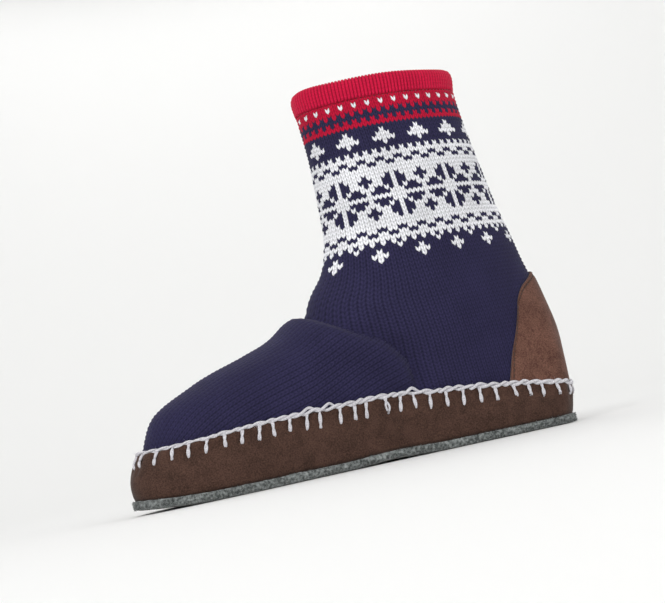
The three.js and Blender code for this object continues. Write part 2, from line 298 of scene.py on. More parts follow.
sole_turns = np.linspace(0, 2 * np.pi, SOLE_TURNS, endpoint=False)
edge_along = (1 + np.cos(sole_turns)) / 2 * FOOT_LENGTH
edge_side = np.sign(np.sin(sole_turns))
edge_across = sole_middle(edge_along) + edge_side * sole_half_width(edge_along, edge_side)
sole_edge = np.stack((edge_along, edge_across), axis=-1)
edge_step = np.roll(sole_edge, -1, axis=0) - np.roll(sole_edge, 1, axis=0)
sole_out = unit(np.stack((edge_step[:, 1], -edge_step[:, 0]), axis=-1))
felt_rows = []
for inset, up in FELT_EDGE:
    plan = sole_edge - sole_out * inset
    felt_rows.append(np.column_stack((plan, up + sole_lift(plan[:, 0]))))
felt_points, edge_faces, flat_faces, _ = slab(felt_rows, SOLE_RUNGS)
lump = soft_noise(felt_points, *FELT_LUMPS) + soft_noise(felt_points, *FELT_FINE_LUMPS)
on_edge = np.arange(len(felt_points)) < len(FELT_EDGE) * SOLE_TURNS
above = felt_points[:, 2] > FELT / 2
lift = np.where(on_edge, np.where(above, EDGE_LIFT_ABOVE, EDGE_LIFT_BELOW), np.where(above, 0, 1))
felt_points[on_edge, :2] += np.tile(sole_out, (len(FELT_EDGE), 1)) * lump[on_edge, None]
felt_points[:, 2] += np.abs(lump) * lift

draw = np.random.default_rng(11)
at = draw.integers(0, SOLE_TURNS, FELT_HAIRS)
hair_up = draw.uniform(*FELT_HAIR_UP, FELT_HAIRS) + sole_lift(sole_edge[at, 0])
hair_roots = np.column_stack((sole_edge[at] - sole_out[at] * FELT_HAIR_ROOT, hair_up))
hair_lean = np.column_stack((sole_out[at] * FELT_HAIR_OUTWARDS, np.zeros(FELT_HAIRS)))
hair_lean += draw.normal(0, FELT_HAIR_SPREAD, (FELT_HAIRS, 3))
hair_tips = hair_roots + unit(hair_lean) * draw.uniform(*FELT_HAIR_LENGTH, FELT_HAIRS)[:, None]
hair_tips[:, 2] = np.maximum(hair_tips[:, 2], FELT_HAIR_CLEARANCE)
felt_hairs = slivers(hair_roots, hair_tips, FELT_HAIR_WIDTH)
felt_points, felt_faces = joined([(felt_points, edge_faces + flat_faces), felt_hairs])
dark_faces = FELT_DARK_ROWS * SOLE_TURNS
felt_slots = [0] * dark_faces + [1] * (len(edge_faces) - dark_faces)
felt_slots += [0] * len(flat_faces) + [2] * len(felt_hairs[1])


def felt_material(name, dark, light, fleck, row_relief=0.0):
    """Shrunk wool felt: matt, with pale and dark hairs mixed, and soft rows where it was knitted. Its
    flecks are drawn coarser than single hairs, which would be too fine to show."""
    felt, shader = new_material(name, {"Roughness": 0.95, "Specular IOR Level": 0.15, "Sheen Weight": 0.25})
    place = add_node(felt, "ShaderNodeTexCoord").outputs["Object"]
    flecks = add_node(felt, "ShaderNodeTexNoise", grain(place, fleck, 4.0)).outputs["Fac"]
    clouds = add_node(felt, "ShaderNodeTexNoise", grain(place, FELT_CLOUD, 3.0)).outputs["Fac"]
    faint = add_node(felt, "ShaderNodeMath", {0: clouds, 1: 0.25}, operation="MULTIPLY").outputs[0]
    mixed = add_node(felt, "ShaderNodeMath", {0: flecks, 1: faint}, operation="ADD").outputs[0]
    knitted = {**grain(place, KNITTED_ROW * BANDS_AT_SCALE_1, 1.0), "Distortion": 2.4, "Detail Scale": 2.0}
    rows = add_node(felt, "ShaderNodeTexWave", knitted, bands_direction="Y").outputs["Fac"]
    raised = add_node(felt, "ShaderNodeMath", {0: rows, 1: row_relief}, operation="MULTIPLY").outputs[0]
    relief = add_node(felt, "ShaderNodeMath", {0: raised, 1: flecks}, operation="ADD").outputs[0]
    fibre_surface(felt, shader, mixed, (0.51, 0.84), dark, light, relief, strength=0.9, depth=0.55)
    return felt


felt_face = felt_material("shrunk_wool_felt_face", FELT_DARK, FELT_LIGHT, FACE_FLECK, KNITTED_ROW_RELIEF)
felt_cut = felt_material("shrunk_wool_felt_cut_edge", FELT_EDGE_DARK, FELT_EDGE_LIGHT, EDGE_FLECK)
felt_hair = felt_material("shrunk_wool_felt_loose_hairs", FELT_HAIR_DARK, FELT_HAIR_LIGHT, EDGE_FLECK)
felt_sole = make_piece("felt_sole", felt_points, felt_faces, [felt_face, felt_cut, felt_hair], felt_slots)
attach(felt_sole, "root")
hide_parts("outsole")

# Insole pad
# A soft grey felt pad that lies loose in the foot of the slipper, from heel to toe, on top of the sole.
# It is a little crowned, with a rounded edge against the knitted wall.
GAP = 0.3
SEAM = FELT + GAP
BALL_HALF_WIDTH = 40
SHAFT_TOP = 10
# Rings of the knitted upper, from the sole to the collar. The pad and the later pieces lie along its wall.
UPPER_RINGS = {
    "level": [0, 1, 2, 3, 4, 5, 6, 7, 8, 9, 10],
    "back": [2.8, 1, 0.2, -0.4, 0.2, 2, 5.4, 10, 16, 22, 27],
    "back_up": [SEAM, 12.5, 19.5, 40, 55, 70, 85, 101, 125, 160, 195],
    "front": [245, 245.2, 239.5, 228, 204, 174, 145, 126, 117, 116, 118],
    "front_up": [SEAM, 16, 27, 48, 61, 71, 83, 101, 126, 161, 196],
    "arch": [0, 3.75, 9.5, 2.5, 0, 0, 0, 0, 0, 0, 0],
    "half": [37.3, 38, 36.2, 36.4, 36, 34.8, 33, 31.6, 30.8, 29.8, 28.6],
    "foot": [1, 1, 1, 0.9, 0.66, 0.34, 0.1, 0, 0, 0, 0],
    "swing": [1, 1, 1, 1, 0.95, 0.8, 0.55, 0.3, 0.1, 0, 0],
}
INSOLE_TURNS, INSOLE_RUNGS = 240, 24
INSOLE_EDGE = [(3.6, 0.0), (3.3, 0.5), (3.3, 2.2), (3.6, 2.9), (4.4, 3.4)]
INSOLE_CROWN = 0.2
INSOLE_WAVES = (0.25, 14, 8)
INSOLE_DARK, INSOLE_LIGHT = "7d7f7d", "a5a7a4"


def upper_point(turn, level):
    """Point on the outside of the knitted upper. Turn 0 is the toe and a quarter turn the outer side."""
    turn, level = np.broadcast_arrays(np.asarray(turn, float), np.asarray(level, float))
    ring = {column: read_column(UPPER_RINGS, "level", column, level) for column in UPPER_RINGS}
    share = (1 + np.cos(turn)) / 2
    along = ring["back"] + (ring["front"] - ring["back"]) * share
    oval = np.abs(np.sin(turn))
    side = np.sign(np.sin(turn))
    foot_shape = sole_half_width(share * FOOT_LENGTH, side) / BALL_HALF_WIDTH
    width = ring["half"] * (oval + (foot_shape - oval) * ring["foot"])
    across = ring["swing"] * sole_middle(along) + side * width
    up = ring["back_up"] + (ring["front_up"] - ring["back_up"]) * share
    up = up + ring["arch"] * 4 * share * (1 - share) + ring["foot"] * sole_lift(along)
    return np.stack((along, across, up), axis=-1)


def upper_directions(turn, level):
    """Directions out of the upper's wall and up along it, the second with its true length for one level."""
    step = 1e-3
    low = np.maximum(level - step, 0)
    high = np.minimum(level + step, SHAFT_TOP)
    around = upper_point(turn + step, level) - upper_point(turn - step, level)
    rise = (upper_point(turn, high) - upper_point(turn, low)) / np.asarray(high - low)[..., None]
    return unit(np.cross(around, rise)), rise


def upper_offset(turn, level, distance):
    """Point at a distance out of the upper's wall."""
    out, _ = upper_directions(turn, level)
    return upper_point(turn, level) + out * np.asarray(distance)[..., None]


insole_turns = np.linspace(0, 2 * np.pi, INSOLE_TURNS, endpoint=False)
insole_rows = []
for inset, up in INSOLE_EDGE:
    row = upper_offset(insole_turns, 0, -inset)
    row[:, 2] = SEAM + sole_lift(row[:, 0]) + up
    insole_rows.append(row)
insole_points, edge_faces, flat_faces, top_at = slab(insole_rows, INSOLE_RUNGS)
insole_points[top_at:, 2] += INSOLE_CROWN + soft_noise(insole_points[top_at:], *INSOLE_WAVES)
insole_felt = felt_material("soft_grey_insole_felt", INSOLE_DARK, INSOLE_LIGHT, EDGE_FLECK)
insole_pad = make_piece("insole_pad", insole_points, edge_faces + flat_faces, [insole_felt])
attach(insole_pad, "root")
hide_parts("insole")

# Knitted shaft and quarter
# A tube of navy stocking stitch with a white and red pattern on the cuff, closed by a seam down the back.
# Each stitch is a V of two slanted legs. At the front of the ankle the tube is sewn under the edge of the
# vamp in a soft crease, and its lower edge is sewn in behind the rand.
KNIT_WALL = 3
RAND_TOP = 2
TUCKED_LEVEL = 1.72
STITCH_WIDE, STITCH_TALL, STITCH_LEAN = 2.49, 2.26, 0.62
SHAFT_STITCH = {"edge": -0.42, "leg": 0.2, "middle": -0.24, "row": 0.32}
ROW_BULGE = 0.3
STITCH_UNEVEN = 0.04
FRONT_WALES, REAR_WALES = 24, 36
SIDE_WALES = FRONT_WALES + REAR_WALES
WALES = 2 * SIDE_WALES
# The wales are counted both ways from a line down the side of the tube.
WALE_LINE = {"up": [20, 60, 100, 150, 196], "along": [48.1, 52.5, 59.8, 66.8, 72.5]}
WIDENING_KEPT = 0.94
BACK_SEAM_DEPTH = -0.6
CREASE = {
    "step": [0, 1, 2, 3, 4, 5],
    "along": [88.5, 89, 91, 101, 119, 143],
    "up": [18, 30, 48, 62, 73, 92],
}
CREASE_TOP_LEVEL = 6.35
CREASE_POINTS = 90
# Folds are given by their height or depth, how far from the crease they lie if not in it, and their width.
CREASE_TROUGH = {"depth": 3.4, "width": 5.5}
CREASE_SWELL = {"rise": 1.0, "behind": 15, "width": 7}
SEWN_UNDER_VAMP = 4.0
UNDER_VAMP_SLOPE = 0.5
SHAFT_WAVES = (0.45, 26, 21)
FREE_FROM, FREE_OVER = 0.1, 0.7
HOLLOWS_KEPT = 0.4
PRESSED_IN = 0.25
TURN_STEPS, LEVEL_STEPS, ROW_STEPS = 361, 260, 600
ROWS_COUNTED_AT = math.radians(140)
TINY = 1e-6
STAR_REACH, LOZENGE_UP = 6, 4
WOOL_NAVY, WOOL_WHITE, WOOL_RED = "302d4e", "fafaff", "c4123a"
LINING_DARK, LINING_LIGHT = "33333f", "4a4a58"
FIBRE, WORN_CLOUD, LINING_PILE = 0.45, 22, 1.4


def run_along(points, axis=0):
    """Distance from the start of a line to each of its points, for one line or for a sheet of lines."""
    steps = np.linalg.norm(np.diff(points, axis=axis), axis=-1)
    return np.insert(np.cumsum(steps, axis=axis), 0, 0, axis=axis)


def bell(distance, width):
    """A soft bump of height 1 that has died out about two widths away."""
    return np.exp(-(distance / width) ** 2)


def crease_distance(points):
    """Distance from the ankle crease, seen from the side: above 0 on the vamp and below 0 on the shaft."""
    steps = np.linspace(CREASE["step"][0], CREASE["step"][-1], CREASE_POINTS)
    line = np.stack([read_column(CREASE, "step", name, steps) for name in ("along", "up")], axis=-1)
    flat = points[..., [0, 2]].reshape(-1, 2)
    nearest = np.full(len(flat), np.inf)
    signed = np.zeros(len(flat))
    for start, reach in zip(line[:-1], np.diff(line, axis=0)):
        ahead = flat - start
        share = np.clip(ahead @ reach / (reach @ reach), 0, 1)
        gap = ahead - share[:, None] * reach
        size = np.hypot(gap[:, 0], gap[:, 1])
        side = np.sign(reach[1] * ahead[:, 0] - reach[0] * ahead[:, 1])
        closer = size < nearest
        nearest[closer] = size[closer]
        signed[closer] = (side * size)[closer]
    return signed.reshape(points.shape[:-1])


def held_flat(folds, level):
    """Folds that die out downwards, where the rand presses the knitting flat."""
    share = np.clip((level - RAND_TOP - FREE_FROM) / FREE_OVER, 0, 1)
    free = share * share * (3 - 2 * share)
    hollows = np.minimum(folds, 0) * (HOLLOWS_KEPT + (1 - HOLLOWS_KEPT) * free)
    return np.maximum(folds, 0) * free + hollows - PRESSED_IN * (1 - free)


def shaft_relief(points, level):
    """Soft folds of the shaft: a trough at the ankle crease, and slow waves in the slack tube."""
    gap = crease_distance(points)
    behind = np.minimum(gap, 0)
    trough = -CREASE_TROUGH["depth"] * bell(behind, CREASE_TROUGH["width"])
    swell = CREASE_SWELL["rise"] * bell(behind + CREASE_SWELL["behind"], CREASE_SWELL["width"])
    under = -UNDER_VAMP_SLOPE * np.maximum(gap, 0)
    return held_flat(trough + swell + soft_noise(points, *SHAFT_WAVES), level) + under


def on_wall(turn, level, folds, distance):
    """Points at a distance from the wall with its folds, for turns and levels on it."""
    return upper_offset(turn, level, folds(upper_point(turn, level), level) + distance)


def wale_turns(side):
    """Levels at even steps, and at each the turn of every quarter wale on one side, from front to back."""
    levels = np.linspace(TUCKED_LEVEL, SHAFT_TOP, LEVEL_STEPS)
    turns = np.linspace(np.pi, 0, TURN_STEPS)
    behind_line = np.arange(4 * SIDE_WALES + 1) / 4 - FRONT_WALES
    to_front = np.maximum(-behind_line, 0) / FRONT_WALES
    table = np.zeros((LEVEL_STEPS, len(behind_line)))
    stretch, widening = 0.0, 0.0
    for i in reversed(range(LEVEL_STEPS)):
        points = upper_point(side * turns, levels[i])
        run = run_along(points)
        past_line = points[:, 0] - np.interp(points[:, 2], WALE_LINE["up"], WALE_LINE["along"])
        line_run = np.interp(0, past_line, run)
        needed = run[-1] - line_run - FRONT_WALES * STITCH_WIDE
        widening = needed - stretch if levels[i] > CREASE_TOP_LEVEL else widening * WIDENING_KEPT
        stretch += widening
        wale_run = line_run - behind_line * STITCH_WIDE + stretch * to_front ** 2
        table[i] = side * np.interp(wale_run, run, turns)
    return levels, table


def interp_rows(table, at):
    """Values of a table between its rows, at a row position for each place in its columns."""
    low = np.clip(np.floor(at).astype(int), 0, len(table) - 2)
    share = at - low
    columns = np.broadcast_to(np.arange(table.shape[1]), at.shape)
    return table[low, columns] * (1 - share) + table[low + 1, columns] * share


def leg_climb(fine_columns):
    """Climb of the V stitches' legs at each point across: 0 in the middle of a V and 1 at its sides."""
    return np.abs(np.arange(fine_columns) % 4 - 2) / 2


def stitch_rows(fine_rows, fine_columns):
    """Row position of each point of the stitches, two points to a row."""
    return np.arange(fine_rows)[:, None] / 2 + STITCH_LEAN * leg_climb(fine_columns)[None, :]


def stitch_heights(fine_rows, fine_columns, stitch):
    """How far each point of the stitches stands out of the knitting, and the same from 0 to 1, from which
    the wool material paints shade between the stitches.
    """
    one_stitch = [stitch["edge"], stitch["leg"], stitch["middle"], stitch["leg"]]
    across = np.array([one_stitch[c % 4] for c in range(fine_columns)])
    groove = np.where(np.arange(fine_rows) % 2 == 0, -stitch["row"], stitch["row"] * ROW_BULGE)
    height = across[None, :] + groove[:, None]
    low, high = height.min(), height.max()
    return height, (height - low) / (high - low)


def any_in_stitch(points, rows, columns):
    """Whether any of a stitch's fifteen points is marked, for each stitch."""
    marked = np.zeros((rows, columns), bool)
    for c in range(5):
        for i in range(3):
            marked |= points[i:i + 2 * rows - 1:2, c:c + 4 * columns - 3:4]
    return marked


def knit_shell(name, outer, inner, active, stitch_colours, stand, wraps, materials):
    """A closed shell of stitches: eight quads on each V, a quad of lining behind it, rims at cut edges."""
    columns = active.shape[1]
    fine = columns * 4 if wraps else columns * 4 + 1
    coarse = columns if wraps else columns + 1
    outer, stand, inner = outer[:, :fine], stand[:, :fine], inner[:, :coarse]
    lining_start = len(outer) * fine
    knitted = np.pad(active, 1)
    if wraps:
        knitted[1:-1, 0], knitted[1:-1, -1] = active[:, -1], active[:, 0]
    faces, slots, face_colours = [], [], []

    def front(i, c):
        """Number of a point on the stitches."""
        return i * fine + c % fine

    def back(r, k):
        """Number of a point on the lining."""
        return lining_start + r * coarse + k % coarse

    for r, k in np.argwhere(active).tolist():
        low, high, left, right = 2 * r, 2 * r + 2, 4 * k, 4 * k + 4
        for i in range(low, high):
            for c in range(left, right):
                faces.append([front(i, c), front(i, c + 1), front(i + 1, c + 1), front(i + 1, c)])
        up, on = r + 1, k + 1
        sides = [
            (knitted[r, on], [(low, c) for c in range(right, left - 1, -1)], [(r, k), (r, on)]),
            (knitted[up + 1, on], [(high, c) for c in range(left, right + 1)], [(up, on), (up, k)]),
            (knitted[up, k], [(i, left) for i in range(low, high + 1)], [(up, k), (r, k)]),
            (knitted[up, on + 1], [(i, right) for i in range(high, low - 1, -1)], [(r, on), (up, on)]),
        ]
        rims = [[back(r, k), back(up, k), back(up, on), back(r, on)]]
        for goes_on, edge, lining_edge in sides:
            if not goes_on:
                rims.append([front(*at) for at in edge] + [back(*at) for at in lining_edge])
        faces += rims
        slots += [0] * 8 + [1] * len(rims)
        face_colours += [stitch_colours[r][k]] * (8 + len(rims))
    points = np.concatenate((outer.reshape(-1, 3), inner.reshape(-1, 3)))
    stand = np.concatenate((stand.ravel(), np.zeros(len(inner) * coarse)))
    used = np.zeros(len(points), bool)
    for face in faces:
        used[face] = True
    renumber = (np.cumsum(used) - 1).tolist()
    faces = [[renumber[i] for i in face] for face in faces]
    return make_piece(name, points[used], faces, materials, slots, (face_colours, stand[used]))


def chart_row(repeat):
    """One row of the pattern, counted both ways from the front, so that the back seam cuts it."""
    return [repeat[(n if n < SIDE_WALES else n - WALES) % len(repeat)] for n in range(WALES)]


def star_rows():
    """Eight-petalled stars in navy on white, twelve stitches apart, with small lozenges between them."""
    rows = []
    for y in range(-STAR_REACH, STAR_REACH + 1):
        row = ""
        for x in range(-STAR_REACH, STAR_REACH):
            longer, shorter = max(abs(x), abs(y)), min(abs(x), abs(y))
            petal = shorter >= 1 and shorter + 1 <= longer <= STAR_REACH - shorter
            lozenge = abs(abs(x) - STAR_REACH) + abs(abs(y) - LOZENGE_UP) <= 1
            row += "." if petal or lozenge else "o"
        rows.append(row)
    return rows


CROSSES = ["...o....", "..ooo...", "...o....", ".......o"]
CHECKS = ["oo..", "..oo"]
TREES = ["...o....", ".ooooo..", "..ooo...", "...o...."]
DASHES = ["r.", "r", "orr", "r"]
PATTERN = (CROSSES + ["o.", "o"] + CHECKS + ["o"] + star_rows() + ["o"] + CHECKS + ["o", "o.", "."] + TREES
           + [".", "r", "r.", "."] + DASHES)
YARNS = {".": linear(WOOL_NAVY), "o": linear(WOOL_WHITE), "r": linear(WOOL_RED)}

row_levels = np.linspace(TUCKED_LEVEL, SHAFT_TOP, ROW_STEPS)
wall_run = run_along(upper_point(ROWS_COUNTED_AT, row_levels))
shaft_rows = int(wall_run[-1] / STITCH_TALL - STITCH_LEAN)
row_height = wall_run[-1] / (shaft_rows + STITCH_LEAN)
fine_rows, fine_columns = 2 * shaft_rows + 1, 4 * WALES + 1
fine_level = np.interp(stitch_rows(fine_rows, fine_columns) * row_height, wall_run, row_levels)
lining_levels = np.interp(np.arange(shaft_rows + 1)[:, None] * row_height, wall_run, row_levels)
levels, outer_turns = wale_turns(1)
_, inner_turns = wale_turns(-1)
turn_table = np.concatenate((outer_turns, inner_turns[:, ::-1][:, 1:]), axis=1)
past_crease = crease_distance(upper_point(turn_table, levels[:, None])) > SEWN_UNDER_VAMP
first_behind = np.minimum(LEVEL_STEPS - np.argmax(past_crease[::-1], axis=0), LEVEL_STEPS - 1)
lowest = np.where(past_crease.any(axis=0), levels[first_behind], TUCKED_LEVEL)


def shaft_place(level, columns):
    """Turns and levels of the shaft's points, stopped where the tube is sewn under the vamp."""
    held = np.maximum(level, lowest[columns][None, :])
    return interp_rows(turn_table[:, columns], (held - TUCKED_LEVEL) / (levels[1] - levels[0])), held


all_columns = np.arange(fine_columns)
turns, heights = shaft_place(fine_level, all_columns)
on_tube = np.abs(turns) < np.pi - TINY
relief, stand = stitch_heights(fine_rows, fine_columns, SHAFT_STITCH)
uneven = np.random.default_rng(5).normal(0, STITCH_UNEVEN, (fine_rows, fine_columns))
uneven[:, -1] = uneven[:, 0]
relief = np.where(on_tube, relief + uneven, BACK_SEAM_DEPTH)
shaft_outer = on_wall(turns, heights, shaft_relief, relief)
shaft_inner = on_wall(*shaft_place(lining_levels, all_columns[::4]), shaft_relief, -KNIT_WALL)
above_seam = fine_level > lowest[None, :] + TINY
shaft_active = any_in_stitch(above_seam, shaft_rows, WALES) & any_in_stitch(on_tube, shaft_rows, WALES)
shaft_chart = [chart_row(".")] * (shaft_rows - len(PATTERN)) + [chart_row(repeat) for repeat in PATTERN]
shaft_colours = [[YARNS[stitch] for stitch in row] for row in shaft_chart]


def wool_material(name):
    """Worsted wool, plied and knitted: matt with a soft bloom of hairs, with painted shade that darkens it
    down between the stitches and a faint painted highlight on their crests. Its fibres are drawn coarser
    than real ones, which would be too fine to show."""
    wool, shader = new_material(name, {"Roughness": 0.9, "Specular IOR Level": 0.18, "Sheen Weight": 0.08,
                                       "Sheen Roughness": 0.45})
    place = add_node(wool, "ShaderNodeTexCoord").outputs["Object"]
    fibre = add_node(wool, "ShaderNodeTexNoise", grain(place, FIBRE, 3.0)).outputs["Fac"]
    cloud = add_node(wool, "ShaderNodeTexNoise", grain(place, WORN_CLOUD, 2.0)).outputs["Fac"]
    yarn = add_node(wool, "ShaderNodeAttribute", attribute_name="yarn_colour").outputs["Color"]
    stand = add_node(wool, "ShaderNodeAttribute", attribute_name="yarn_stand_for_painted_shade").outputs["Fac"]
    # Painted shade in the grooves between stitches, and a faint painted highlight on the crests.
    shade = add_node(wool, "ShaderNodeMapRange", {"Value": stand, "To Min": 0.36, "To Max": 1.1}).outputs[0]
    for pattern, darkest, palest in [(fibre, 0.72, 1.26), (cloud, 0.9, 1.1)]:
        limits = {"Value": pattern, "From Min": 0.3, "From Max": 0.7, "To Min": darkest, "To Max": palest}
        share = add_node(wool, "ShaderNodeMapRange", limits).outputs[0]
        shade = add_node(wool, "ShaderNodeMath", {0: shade, 1: share}, operation="MULTIPLY").outputs[0]
    colour = add_node(wool, "ShaderNodeVectorMath", {0: yarn, "Scale": shade}, operation="SCALE")
    link(wool, colour.outputs["Vector"], shader.inputs["Base Color"])
    bump = add_node(wool, "ShaderNodeBump", {"Height": fibre, "Strength": 0.6, "Distance": 0.25 * MM})
    link(wool, bump.outputs["Normal"], shader.inputs["Normal"])
    return wool


def lining_material(name):
    """Fleece, knitted and brushed: a short dark pile with no gloss, seen only down inside the shaft."""
    pile_gloss = {"Roughness": 0.95, "Specular IOR Level": 0.12, "Sheen Weight": 0.3}
    fleece, shader = new_material(name, pile_gloss)
    place = add_node(fleece, "ShaderNodeTexCoord").outputs["Object"]
    pile = add_node(fleece, "ShaderNodeTexNoise", grain(place, LINING_PILE, 4.0)).outputs["Fac"]
    fibre_surface(fleece, shader, pile, (0.3, 0.7), LINING_DARK, LINING_LIGHT, pile,
                  strength=0.8, depth=0.6)
    return fleece


knit_and_lining = [wool_material("worsted_wool_stocking_stitch"), lining_material("brushed_fleece_lining")]
knit_shaft = knit_shell("knit_shaft", shaft_outer, shaft_inner, shaft_active, shaft_colours, stand, True,
                        knit_and_lining)
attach(knit_shaft, "root")
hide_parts("upper")

# Knitted vamp
# The front of the upper, in plain navy stocking stitch whose wales run along the foot. It is sewn to the
# shaft in the ankle crease, where its edge rolls over plumply, and its lower edge is held behind the rand.
VAMP_WALES = 62
VAMP_STITCH_TALL = 2.45
VAMP_STITCH = {"edge": -0.52, "leg": 0.2, "middle": -0.2, "row": 0.29}
VAMP_UNEVEN = 0.035
VAMP_START, VAMP_MIDDLE, VAMP_END = 84, 160, 244.6
VAMP_ROLL = {"rise": 2.4, "ahead": 10, "width": 8.5}
VAMP_TUCK = {"depth": 4.5, "width": 3.0}
VAMP_WAVES = (0.4, 22, 33)
RIDGE_TOP_LEVEL, RIDGE_LEVELS = 7, 800
RIDGE_FROM = 131
RIDGE_BACK, RIDGE_SLOPE = 145, 0.42
SECTION_STEP, SECTION_POINTS = 0.5, 120


def vamp_relief(points, level):
    """Plump roll of the vamp's edge against the shaft, which turns down into the crease."""
    front = np.maximum(crease_distance(points), 0)
    roll = VAMP_ROLL["rise"] * bell(front - VAMP_ROLL["ahead"], VAMP_ROLL["width"])
    tuck = VAMP_TUCK["depth"] * bell(front, VAMP_TUCK["width"])
    return held_flat(roll - tuck + soft_noise(points, *VAMP_WAVES), level)


stations = np.arange(VAMP_START, VAMP_END + SECTION_STEP / 2, SECTION_STEP)
front_levels = np.linspace(1, RIDGE_TOP_LEVEL, RIDGE_LEVELS)
front_line = read_column(UPPER_RINGS, "level", "front", front_levels)
ridge_levels = np.interp(-stations, -front_line, front_levels)
ridge_levels[stations < RIDGE_FROM] = RIDGE_TOP_LEVEL
climb = 1 - (1 - np.linspace(0, 1, SECTION_POINTS)) ** 2
section_level = TUCKED_LEVEL + (ridge_levels[:, None] - TUCKED_LEVEL) * climb[None, :]
section_level = np.minimum(section_level, ridge_levels[:, None])
ring_back = read_column(UPPER_RINGS, "level", "back", section_level)
ring_front = read_column(UPPER_RINGS, "level", "front", section_level)
section_share = np.clip((stations[:, None] - ring_back) / (ring_front - ring_back), 0, 1)
section_turn = np.arccos(2 * section_share - 1)


def vamp_side(side):
    """Wales on one side of the vamp, from the ridge down: turn, level and distance from the rand."""
    run = run_along(upper_point(side * section_turn, section_level), axis=1)
    girth = run[:, -1]
    behind_ridge = np.interp(RIDGE_BACK, stations, girth) + RIDGE_SLOPE * (RIDGE_BACK - stations)
    ridge_to_rand = np.where(stations < RIDGE_BACK, behind_ridge, girth)
    from_ridge = np.linspace(0, ridge_to_rand[0], VAMP_WALES * 2 + 1)
    from_rand = ridge_to_rand[:, None] - from_ridge[None, :]
    turns = np.zeros_like(from_rand)
    heights = np.zeros_like(from_rand)
    for i in range(len(stations)):
        turns[i] = side * np.interp(from_rand[i], run[i], section_turn[i])
        heights[i] = np.interp(from_rand[i], run[i], section_level[i])
    return turns, heights, from_rand


vamp_turn, vamp_level, vamp_from_rand = (
    np.concatenate((a[:, ::-1], b[:, 1:]), axis=1) for a, b in zip(vamp_side(1), vamp_side(-1)))
vamp_points = upper_point(vamp_turn, vamp_level)
middle_station = int((VAMP_MIDDLE - VAMP_START) / SECTION_STEP)
vamp_run = run_along(vamp_points)
vamp_run -= vamp_run[middle_station]
on_vamp = (crease_distance(vamp_points) > 0) & (vamp_from_rand > 0)
fine_wales = 4 * VAMP_WALES + 1
run_low, run_high = np.zeros(fine_wales), np.zeros(fine_wales)
for c in range(fine_wales):
    held = np.nonzero(on_vamp[:, c])[0]
    if len(held):
        run_low[c], run_high[c] = vamp_run[held[0], c], vamp_run[held[-1], c]
rows_behind = int(math.ceil(-run_low.min() / VAMP_STITCH_TALL)) + 1
rows_ahead = int(math.ceil(run_high.max() / VAMP_STITCH_TALL)) + 1
vamp_rows = rows_behind + rows_ahead


def vamp_place(row_position, columns):
    """Turns and levels of the vamp's points, stopped at the crease and behind the rand."""
    run = np.clip((row_position - rows_behind) * VAMP_STITCH_TALL, run_low[columns], run_high[columns])
    turns, heights = np.zeros_like(run), np.zeros_like(run)
    for j, c in enumerate(columns):
        turns[:, j] = np.interp(run[:, j], vamp_run[:, c], vamp_turn[:, c])
        heights[:, j] = np.interp(run[:, j], vamp_run[:, c], vamp_level[:, c])
    return turns, heights


fine_rows = 2 * vamp_rows + 1
wale_columns = np.arange(fine_wales)
row_at = stitch_rows(fine_rows, fine_wales)
relief, stand = stitch_heights(fine_rows, fine_wales, VAMP_STITCH)
relief = relief + np.random.default_rng(6).normal(0, VAMP_UNEVEN, relief.shape)
vamp_outer = on_wall(*vamp_place(row_at, wale_columns), vamp_relief, relief)
lining_rows = np.arange(vamp_rows + 1)[:, None]
vamp_inner = on_wall(*vamp_place(lining_rows, wale_columns[::4]), vamp_relief, -KNIT_WALL)
row_run = (row_at - rows_behind) * VAMP_STITCH_TALL
vamp_active = any_in_stitch((row_run > run_low) & (row_run < run_high), vamp_rows, VAMP_WALES)
vamp_colours = [[YARNS["."]] * VAMP_WALES] * vamp_rows
knit_vamp = knit_shell("knit_vamp", vamp_outer, vamp_inner, vamp_active, vamp_colours, stand, False,
                       knit_and_lining)
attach(knit_vamp, "root")
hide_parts("upper")

# Turned hem
# The shaft ends in a thick red hem, knitted on in the same yarn, turned over and sewn down inside. Its
# wales stand up as fine ribs, and its top edge is round.
HEM_RED = "c8123e"
HEM_RIBS = 124
HEM_HEIGHT = 11
# Each corner of the hem's section is given by how far it lies out of the shaft's wall and up from its edge.
HEM_PROFILE = [(0.45, -1.0), (0.8, 1.6), (1.15, 3.6), (1.35, 5.4), (1.35, 7.2), (1.0, 8.9), (0.1, 10.3),
               (-1.5, 10.95), (-3.1, 10.3), (-3.9, 8.9), (-4.1, 7.2), (-4.1, 5.0), (-4.0, 2.2),
               (-3.9, -1.0), (-1.5, -1.0)]
HEM_STITCH = [-0.75, 0.12, 0.05, 0.12]
HEM_NOTCH = [-0.12, 0.04]
HEM_LEAN = 0.45
# Slow waves of the rim are given by their height, their number round it, and their shift.
HEM_WAVES = [(0.35, 2, 0.6), (0.25, 5, 0.0)]
RIM_STEPS = 2000

hem_rows, hem_columns = len(HEM_PROFILE), 4 * HEM_RIBS
hem_profile = np.array(HEM_PROFILE + HEM_PROFILE[:1])
rim_turns = np.linspace(0, 2 * np.pi, RIM_STEPS)
rim_run = run_along(upper_point(rim_turns, SHAFT_TOP))
hem_turns = np.interp(np.arange(hem_columns) / hem_columns * rim_run[-1], rim_run, rim_turns)
hem_base = upper_point(hem_turns, SHAFT_TOP)
hem_out, _ = upper_directions(hem_turns, SHAFT_TOP)
hem_out = unit(hem_out * [1, 1, 0])
hem_wave = sum(height * np.sin(number * hem_turns + shift) for height, number, shift in HEM_WAVES)
hem_stitch = np.array([HEM_STITCH[c % 4] for c in range(hem_columns)])
lowest_stand = min(HEM_STITCH) + min(HEM_NOTCH)
highest_stand = max(HEM_STITCH) + max(HEM_NOTCH)


def hem_place(at):
    """Out and up of a place on the hem's section, which is counted in corners."""
    corners = np.arange(hem_rows + 1)
    return [np.interp(at % hem_rows, corners, hem_profile[:, i]) for i in (0, 1)]


